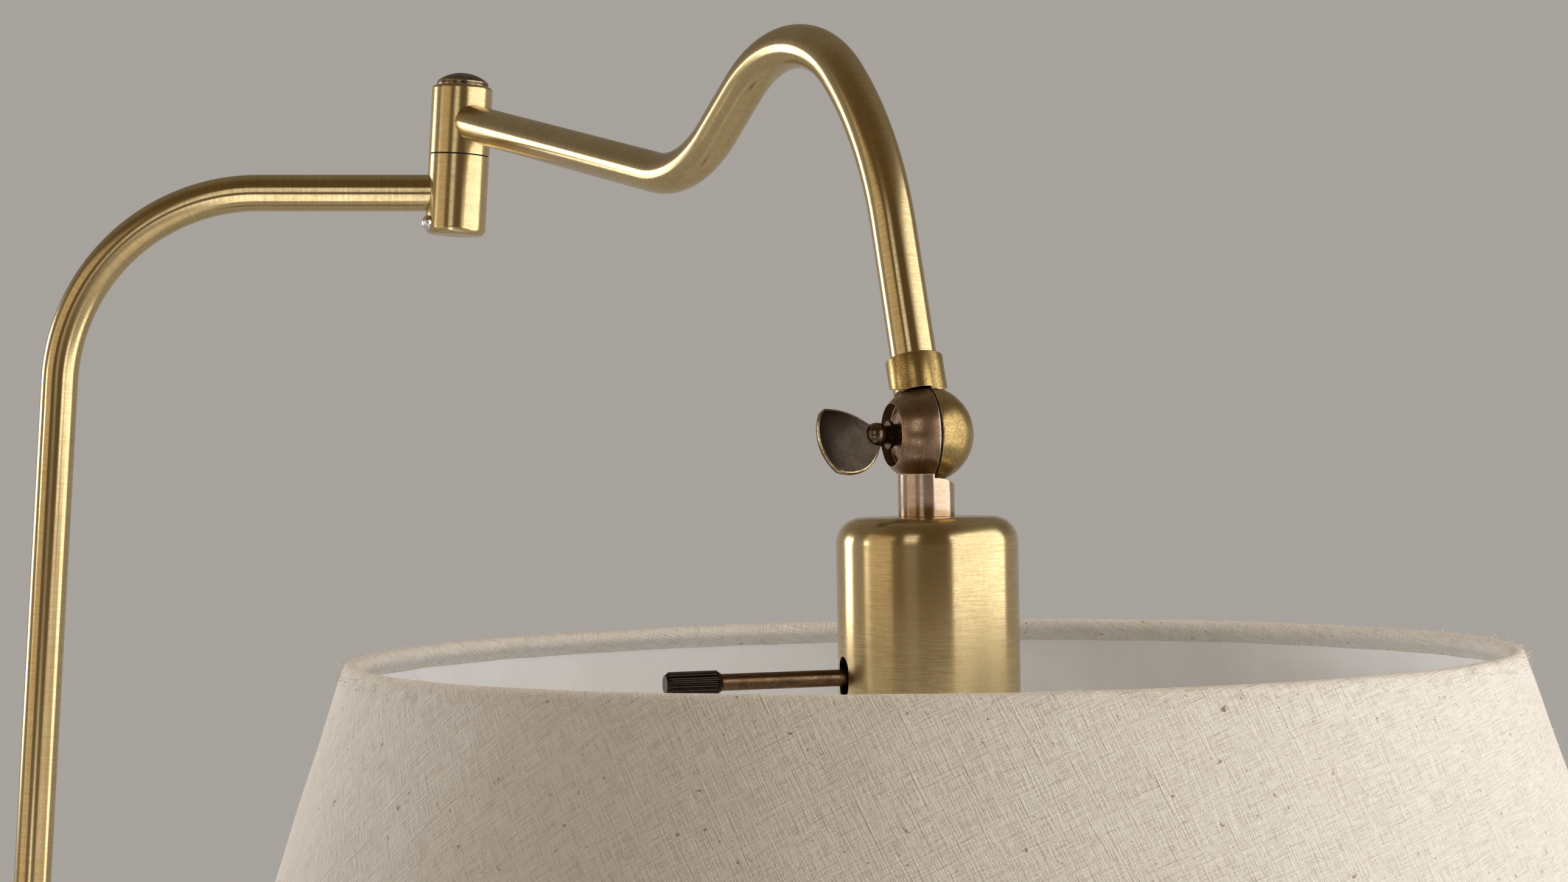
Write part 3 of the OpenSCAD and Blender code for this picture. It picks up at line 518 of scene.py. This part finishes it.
def softened(node, width, keep=lambda edge: True):
    """A merged copy of a solid with its sharp edges bevelled (mm) and marked for wear and painted highlight."""
    bm = bmesh.new()
    bm.from_mesh(frame["nodes"][node].data)
    bmesh.ops.remove_doubles(bm, verts=bm.verts, dist=2e-6)
    bmesh.ops.dissolve_limit(bm, angle_limit=math.radians(FLAT_DEG), verts=bm.verts, edges=bm.edges)
    edge_wear_and_highlight = bm.faces.layers.float.new("edge_wear_and_highlight")
    edges = [e for e in bm.edges
             if len(e.link_faces) == 2 and e.calc_face_angle(0) > math.radians(SHARP_DEG) and keep(e)]
    rounds = bmesh.ops.bevel(bm, geom=edges, offset=width * MM, offset_type="OFFSET", segments=3,
                             profile=0.5, affect="EDGES", clamp_overlap=False, material=-1)["faces"]
    for face in rounds:
        # bevel faces are marked for the bright edge colour: wear and a painted highlight
        face[edge_wear_and_highlight] = 1.0
    return bm


# %% The golden half ball, the washer and the cap
castings = [
    ("golden_half_ball", "swivel_upper", 0.25, "arm", "brass_cast", cast_gold),
    ("dished_washer", "clamp_washer", 0.2, "head", "dark_bronze", brown_bronze),
    ("knuckle_dome", "knuckle_cap", 0.35, "arm", "dark_bronze", dark_bronze),
]
for name, node, width, body, slot, finish in castings:
    finish_piece(name, softened(node, width), body, finish, [node], turn_faces=False)

# %% [markdown]
# The lower half ball carries the neck. The neck was polished and the ball wasn't, so its faces get a
# finish of their own: those that lie off the ball, on its lower side.

# %% The half ball with the neck
BALL_R = 13.0
bm = softened("swivel_lower", 0.25)
bronze_half = finish_piece("bronze_half_ball", bm, "head", brown_bronze, ["swivel_lower"],
                           turn_faces=False)
bronze_half.data.materials.append(neck_bronze)
for face in bronze_half.data.polygons:
    off_the_ball = (face.center - ball).length > (BALL_R + 0.05) * MM
    face.material_index = int(off_the_ball and (face.center - ball).dot(head_up) < 0)

# %% [markdown]
# The wing screw is a turned bead with a flat leaf. The leaf is dark, and its rim gets a bright edge
# colour: partly bare metal from fingers' wear, partly a painted highlight. Only the leaf's own edges are
# rounded, and the turned bead keeps its shape.

# %% The wing screw
BEAD_OUT, BEAD_R = 13.9, 3.35
bead = ball - swivel_way * BEAD_OUT * MM


def on_leaf(edge):
    return all((v.co - bead).length > (BEAD_R + 0.3) * MM and (v.co - bead).dot(swivel_way) < 0
               for v in edge.verts)


bm = softened("wing_screw", 0.55, keep=on_leaf)
wing = finish_piece("wing_screw_leaf", bm, "screw", dark_bronze, ["wing_screw"],
                    turn_faces=False)
wing.data.materials.append(black_bronze)
for face in wing.data.polygons:
    face.material_index = int((face.center - bead).length > (BEAD_R + 0.1) * MM
                              and (face.center - bead).dot(swivel_way) < 0)

# %% [markdown]
# ## The linen shade
# The cloth is cut as a flat fan and rolled into a cone, so its threads lie at a different angle on each
# side of the shade. The UV map holds that flat fan in metres, and the weave is drawn on it.

# %% The shade's cloth
TOP_R, BOTTOM_R, SHADE_H, SHADE_DROP = 155.5, 231.5, 228.0, 57.3
CLOTH_T, HEM, WIRE_R = 0.9, 7.2, 1.4
CUT_EDGE = 0.8          # the cut edge of the hem stands so far off the cloth
WALL_STEPS, ROLL_STEPS, HEM_STEPS = 90, 11, 6
roll_r = WIRE_R + CLOTH_T
lean_in = math.atan((BOTTOM_R - TOP_R) / SHADE_H)
slope_length = SHADE_H / math.cos(lean_in)


def wall_at(along, inward):
    """A point of the shade's wall in mm: so far down the slope, and so far in from its outer face."""
    radius = TOP_R + along * math.sin(lean_in) - inward * math.cos(lean_in)
    height = -SHADE_DROP - along * math.cos(lean_in) - inward * math.sin(lean_in)
    return Vector((radius, height))


def hem(distance_from_edge):
    """The turned hem from outside to inside: over the ring wire, then thinning towards its cut edge."""
    points = []
    for step in range(1, ROLL_STEPS + 1):
        angle = math.pi * step / ROLL_STEPS
        points.append((roll_r - roll_r * math.sin(angle), roll_r * (1 - math.cos(angle))))
    for step in range(1, HEM_STEPS + 1):
        part = step / HEM_STEPS
        eased = part * part * (3 - 2 * part)
        points.append((roll_r + (HEM - roll_r) * part,
                       2 * roll_r + (CLOTH_T + CUT_EDGE - 2 * roll_r) * eased))
    points += [(HEM + 0.2, CLOTH_T + 0.5), (HEM + 0.2, CLOTH_T)]
    return [wall_at(distance_from_edge(along), inward) for along, inward in points]


flat_wall = slope_length - 2 * roll_r
outside = [wall_at(roll_r + flat_wall * step / WALL_STEPS, 0) for step in range(WALL_STEPS + 1)]
bottom_hem = hem(lambda along: slope_length - along)
top_hem = hem(lambda along: along)
profile = outside + bottom_hem + top_hem[::-1]
print("points round the cloth's section:", len(profile))

# %% [markdown]
# The weave has to turn round the hems with the cloth, so each point also keeps its run: how far it lies
# down the cloth, measured round the bottom hem, and less than nought on the top hem.

# %% How far down the cloth each point lies
runs = [0.0]
for before, after in zip(profile, profile[1:]):
    runs.append(runs[-1] + (after - before).length)
whole_way_round = runs[-1] + (profile[0] - profile[-1]).length
top_starts = len(outside) + len(bottom_hem)
runs = runs[:top_starts] + [run - whole_way_round for run in runs[top_starts:]]
bm = bmesh.new()
lathe(bm, [tuple(point) for point in profile], head, 288, runs)
print("the cloth runs from", round(min(runs), 1), "to", round(max(runs), 1), "mm")

# %% [markdown]
# Cloth is never as true as sheet metal. The rims wander by a few tenths of a millimetre, and at the seam
# one edge laps over the other, so the wall stands out a little there.

# %% A hand-made rim and a lapped seam
SEAM_TURN = math.radians(72)
SEAM_WIDE = 9.0
LAP = 0.6
WANDER = 0.22
PULLED_IN = 0.15
to_head = head.inverted()
from_head = head.to_3x3()
for vert in bm.verts:
    here = to_head @ vert.co
    outward = Vector((here.x, here.y, 0)).normalized()
    wander = noise_at(Vector((outward.x, outward.y, here.z * 6)) * 9) * WANDER
    turn = (math.atan2(here.y, here.x) - SEAM_TURN + math.pi) % math.tau - math.pi
    across_seam = turn * Vector((here.x, here.y, 0)).length / MM
    lap = LAP if 0 < across_seam < SEAM_WIDE else 0.0
    moved = outward * (wander + lap - PULLED_IN) + Vector((0, 0, wander * 0.8))
    vert.co += from_head @ (moved * MM)
print("the lap at the seam is", SEAM_WIDE, "mm wide and", LAP, "mm high")

# %% [markdown]
# Unrolled, the cone is a fan. A point lies as far from the fan's tip as it does from the cone's, and its
# angle in the fan is its turn about the shade's axis times the sine of the wall's lean.

# %% The fan that the cloth was cut as
tip_distance = TOP_R / math.sin(lean_in)
uv = bm.loops.layers.uv.new("fan")
run_layer = bm.verts.layers.float.get("run")
for face in bm.faces:
    centre = to_head @ face.calc_center_median()
    middle = (math.atan2(centre.y, centre.x) - SEAM_TURN) % math.tau
    for loop in face.loops:
        here = to_head @ loop.vert.co
        turn = (math.atan2(here.y, here.x) - SEAM_TURN) % math.tau
        if turn - middle > math.pi:
            turn -= math.tau
        if middle - turn > math.pi:
            turn += math.tau
        fan = (turn - math.pi) * math.sin(lean_in)
        reach = (tip_distance + loop.vert[run_layer]) * MM
        loop[uv].uv = (reach * math.sin(fan), -reach * math.cos(fan))
print("the fan's tip lies", round(tip_distance), "mm above the cloth's top edge")

# %% [markdown]
# Linen has fine threads two ways, crossed by a few thick ones, the slubs. The gaps between threads are
# painted darker, as painted shade in the hollows of the weave; the slubs are paler, and bits of husk
# show as brown specks. The threads lie at a slant to the fan, so they slant on the finished shade too.

# %% Linen
CLOTH_SLANT = math.radians(-24)
PALE_LINEN, DEEP_LINEN = (0.87, 0.85, 0.80), (0.85, 0.82, 0.76)
SMUDGE, THREAD_GAP_SHADE = (0.62, 0.52, 0.42), (0.64, 0.58, 0.50)
SLUB, HUSK = (0.92, 0.88, 0.80), (0.26, 0.175, 0.10)


def threads(tree, where, along, across, detail, roughness):
    """Noise drawn out into threads, first one way and then the other."""
    return [noise(tree, stretched(tree, where, scale), 1.0, detail, roughness)
            for scale in ((along, across, 1), (across, along, 1))]


def linen_material():
    material, tree, shader = start_material("slubbed linen")
    fan = add(tree, "ShaderNodeUVMap", {"uv_map": "fan"}).outputs[0]
    slanted = add(tree, "ShaderNodeMapping", {"vector_type": "POINT"}, Vector=fan,
                  Rotation=(0, 0, CLOTH_SLANT)).outputs[0]
    warp, weft = threads(tree, slanted, 130, 2100, 3.0, 0.6)
    thick_warp, thick_weft = threads(tree, slanted, 55, 800, 2.0, 0.5)
    fuzz = noise(tree, fan, 2300, 3.0, 0.7)
    weave = weighted_sum(tree, (warp, 0.38), (weft, 0.38), (fuzz, 0.24))
    slubs = weighted_sum(tree, (remap(tree, thick_warp, 0.56, 0.76), 0.7),
                         (remap(tree, thick_weft, 0.58, 0.78), 0.7))
    clouds = remap(tree, noise(tree, fan, 32, 3.0, 0.55))
    smudges = remap(tree, noise(tree, fan, 240, 3.0, 0.65), 0.5, 0.75)
    husks = product(tree, remap(tree, noise(tree, fan, 430, 3.0, 0.55), 0.645, 0.72),
                    remap(tree, noise(tree, fan, 95, 1.0, 0.4), 0.42, 0.56))
    colour = blend_colours(tree, clouds, (*PALE_LINEN, 1), (*DEEP_LINEN, 1))
    colour = blend_colours(tree, weighted_sum(tree, (smudges, 0.22)), colour, (*SMUDGE, 1))
    # where the weave is low, the gaps between threads get painted shade
    colour = blend_colours(tree, remap(tree, weave, 0.36, 0.56), (*THREAD_GAP_SHADE, 1), colour)
    colour = blend_colours(tree, weighted_sum(tree, (slubs, 0.45)), colour, (*SLUB, 1))
    colour = blend_colours(tree, weighted_sum(tree, (husks, 0.85)), colour, (*HUSK, 1))
    tree.links.new(colour, shader.inputs["Base Color"])
    shader.inputs["Roughness"].default_value = 0.9
    shader.inputs["Sheen Weight"].default_value = 0.2
    shader.inputs["Sheen Roughness"].default_value = 0.5
    relief = bump(tree, weave, 1.2 * MM, 0.9)
    relief = bump(tree, slubs, 0.22 * MM, 0.8, under=relief)
    tree.links.new(relief, shader.inputs["Normal"])
    return material


cloth = finish_piece("shade_linen", bm, "head", linen_material(), ["shade_cover"],
                     smooth_angle=60)

# %% [markdown]
# Linen is hairy: short fibres stand off it and show as a soft fuzz along the rims and the outline. Each
# is a thin three-sided cone, so that many hundreds of them still weigh little. The top rim has the most,
# because fingers rub it.

# %% Fibres on the rims and the wall
FIBRES = 1800
RIM_SHARE = 0.55
RIM_BAND = 5.0
FIBRE_ROOT_R, FIBRE_TIP_R = 0.06, 0.02
random.seed(11)
bm = bmesh.new()
for _ in range(FIBRES):
    turn = random.uniform(0, math.tau)
    near_rim = random.random() < RIM_SHARE
    along = random.uniform(-0.1, RIM_BAND) if near_rim else random.uniform(RIM_BAND, slope_length - 1)
    radius, height = wall_at(max(along, 0.4), 0.1 if along > 0.6 else random.uniform(0, 3.0)) * MM
    out = Vector((math.cos(turn), math.sin(turn), random.uniform(-0.9, 1.3)))
    side = Vector((-math.sin(turn), math.cos(turn), 0)) * random.uniform(-1.6, 1.6)
    lean = (from_head @ (out + side)).normalized()
    length = random.uniform(0.8, 3.2) * MM
    root = head @ Vector((radius * math.cos(turn), radius * math.sin(turn), height))
    place = (Matrix.Translation(root + lean * length * 0.4)
             @ lean.to_track_quat("Z", "Y").to_matrix().to_4x4())
    bmesh.ops.create_cone(bm, cap_ends=True, segments=3, radius1=FIBRE_ROOT_R * MM,
                          radius2=FIBRE_TIP_R * MM, depth=length, matrix=place)
fibre_linen = plain("linen fibres", (0.80, 0.75, 0.66), 0.9, mottle=0.3, scale=80, bump_mm=0.0)
finish_piece("shade_fibres", bm, "head", fibre_linen, turn_faces=False)

# %% [markdown]
# The lining is a thin white sheet on the inside of the cloth, which throws the lamp's light back. It is
# spun as the cloth is, and stops short of both rims, so that the turned hems lie clear of it.

# %% The white lining
LINING_SHORT = 6            # the lining ends so far inside each rim
LINING_FACES = (1.05, 1.55)
LINING_STEPS = 40
reaches = [LINING_SHORT + (slope_length - 2 * LINING_SHORT) * step / LINING_STEPS
           for step in range(LINING_STEPS + 1)]
near_cloth, inner_face = ([tuple(wall_at(along, inward)) for along in reaches] for inward in LINING_FACES)
bm = bmesh.new()
lathe(bm, near_cloth + inner_face[::-1], head, 192)
lining_white = plain("white lining", (0.90, 0.905, 0.91), 0.6, mottle=0.05, scale=60, bump_mm=0.02)
finish_piece("shade_lining_sheet", bm, "head", lining_white, ["shade_lining"], smooth_angle=60)

# %% [markdown]
# ## Light, floor and camera
# The floor is pale near the lamp, where it takes the shadow, and fades into the colour of the wall
# farther out, so that no edge shows behind the lamp. From below it is clear, and the foot can be seen.

# %% The floor
FLOOR_R = 7.5
FADE_FROM, FADE_TO = 0.2, 1.7
BACKDROP = (0.388, 0.363, 0.335)
bm = bmesh.new()
bmesh.ops.create_circle(bm, cap_ends=True, segments=128, radius=FLOOR_R)
floor_mesh = bpy.data.meshes.new("floor")
bm.to_mesh(floor_mesh)
bm.free()
floor = bpy.data.objects.new("floor", floor_mesh)
bpy.context.scene.collection.objects.link(floor)
floor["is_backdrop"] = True
floor_paint, tree, shader = start_material("pale floor")
shader.inputs["Base Color"].default_value = (0.46, 0.475, 0.48, 1)
shader.inputs["Roughness"].default_value = 0.8
where = add(tree, "ShaderNodeTexCoord").outputs["Object"]
from_pole = add(tree, "ShaderNodeVectorMath", {"operation": "LENGTH"}, i0=where).outputs["Value"]
far = remap(tree, from_pole, FADE_FROM, FADE_TO)
glow = add(tree, "ShaderNodeEmission", Color=(*BACKDROP, 1), Strength=1.0).outputs[0]
faded = add(tree, "ShaderNodeMixShader", i0=far, i1=shader.outputs[0], i2=glow).outputs[0]
from_below = add(tree, "ShaderNodeNewGeometry").outputs["Backfacing"]
clear = add(tree, "ShaderNodeBsdfTransparent").outputs[0]
surface = add(tree, "ShaderNodeMixShader", i0=from_below, i1=faded, i2=clear).outputs[0]
tree.links.new(surface, tree.nodes["Material Output"].inputs["Surface"])
floor.data.materials.append(floor_paint)
print("the floor is", 2 * FLOOR_R, "m across")

# %% [markdown]
# The room is painted by the way a ray looks. The camera sees a plain warm grey wall. Metal sees the same
# wall behind it, darker higher up, and a dim warm room in front, which gives brass its deep brown tones
# between the lights. Cloth gets a soft even fill.

# %% The room
WALL_HIGH = (0.20, 0.175, 0.14)
ROOM_DARK = (0.125, 0.085, 0.042)
ROOM_FILL = (0.235, 0.165, 0.105)
world = bpy.data.worlds.new("room")
bpy.context.scene.world = world
world.use_nodes = True
tree = world.node_tree
room = tree.nodes["Background"]
path = add(tree, "ShaderNodeLightPath").outputs
way_out = add(tree, "ShaderNodeTexCoord").outputs["Generated"]
split = add(tree, "ShaderNodeSeparateXYZ", Vector=way_out).outputs
high = remap(tree, split["Z"], 0.05, 0.45)
behind = remap(tree, split["Y"], -0.35, 0.3)
wall = blend_colours(tree, high, (*BACKDROP, 1), (*WALL_HIGH, 1))
mirrored = blend_colours(tree, behind, (*ROOM_DARK, 1), wall)
shown = blend_colours(tree, path["Is Camera Ray"], mirrored, (*BACKDROP, 1))
sharp_ray = add(tree, "ShaderNodeMath", {"operation": "MAXIMUM"}, i0=path["Is Camera Ray"],
                i1=path["Is Glossy Ray"]).outputs[0]
tree.links.new(blend_colours(tree, sharp_ray, (*ROOM_FILL, 1), shown), room.inputs["Color"])
room.inputs["Strength"].default_value = 1.0
print("the camera sees a wall of", BACKDROP)

# %% [markdown]
# Brass is all reflections, so its lights are chosen for what they look like in it: one large soft box on
# the right, which also lights the cloth, a warm panel and two small windows at the left, and two tall
# cards in front that draw a thin bright line along each tube. All but the larger window leave the cloth
# alone. The cloth has soft light of its own from both sides and from above, which the metal doesn't show.

# %% The lamps
def soft_box(name, spot, aim, width, tall, radiance, tint=(1, 1, 1), lights_cloth=True, shines=True):
    """An area lamp at a spot, facing another. A radiance of 1 is as bright as white paper."""
    data = bpy.data.lights.new(name, "AREA")
    data.shape = "RECTANGLE"
    data.size, data.size_y = width, tall
    data.energy = radiance * math.pi * width * tall
    data.color = tint
    lamp = bpy.data.objects.new(name, data)
    bpy.context.scene.collection.objects.link(lamp)
    lamp.visible_camera = False
    lamp.visible_diffuse = lights_cloth
    lamp.visible_glossy = shines
    lamp.location = spot
    lamp.rotation_euler = (Vector(aim) - Vector(spot)).to_track_quat("-Z", "Y").to_euler()


def round_the_ball(towards_deg, distance, height):
    """A spot so far from the ball. The angle is from the camera's side, round to the right."""
    angle = math.radians(towards_deg)
    return (ball.x + distance * math.sin(angle), ball.y - distance * math.cos(angle), height)


WARM = (1.0, 0.86, 0.66)
shade_top = (ball.x, ball.y, ball.z - 0.1)
arm_middle = (0.07, 0, 1.45)
pole_top = (0, 0, 1.36)
metal_only, cloth_only = {"lights_cloth": False}, {"shines": False}
soft_box("right soft box", round_the_ball(70, 1.6, 1.5), shade_top, 2.8, 2.4, 1.85)
soft_box("left panel", round_the_ball(-68, 1.7, 1.5), shade_top, 1.3, 1.5, 0.55, WARM, **metal_only)
soft_box("left window", round_the_ball(-120, 1.5, 1.38), shade_top, 0.4, 0.5, 4.5)
soft_box("small window", (-1.44, -0.41, 1.39), pole_top, 0.2, 0.12, 8.0, **metal_only)
soft_box("low front card", round_the_ball(-25, 0.98, 0.62), arm_middle, 0.3, 1.06, 1.9, **metal_only)
soft_box("high front card", round_the_ball(-25, 0.98, 1.74), arm_middle, 0.3, 0.54, 1.2, **metal_only)
soft_box("left wash", round_the_ball(-118, 1.7, 1.4), shade_top, 0.8, 1.0, 8.6, **cloth_only)
soft_box("right wash", round_the_ball(100, 1.7, 1.4), shade_top, 0.8, 1.0, 1.0, **cloth_only)
soft_box("top fill", round_the_ball(50, 1.0, 3.2), shade_top, 2.0, 2.0, 1.0, WARM, **cloth_only)

# %% [markdown]
# The camera is held three degrees askew, as it was for the photograph: in it the pole leans, and a pole
# that really leaned wouldn't let the arm stay where it is put.

# %% The camera
PHOTO_W = 2576
FOCAL_PX = 5008
SENSOR_W = 36
EYE = (0.2527, -1.060, 1.3695)
LOOK_UP = 0.395
ROLL = 3.0
camera_data = bpy.data.cameras.new("camera")
camera_data.sensor_width = SENSOR_W
camera_data.lens = SENSOR_W * FOCAL_PX / PHOTO_W
camera = bpy.data.objects.new("camera", camera_data)
bpy.context.scene.collection.objects.link(camera)
camera.matrix_world = (Matrix.Translation(EYE) @ Matrix.Rotation(math.radians(90 + LOOK_UP), 4, "X")
                       @ Matrix.Rotation(math.radians(ROLL), 4, "Z"))
bpy.context.scene.camera = camera
bpy.context.scene.view_settings.view_transform = "Standard"
print("lens:", round(camera_data.lens, 1), "mm")

# %% The sizes, and the end
low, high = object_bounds()
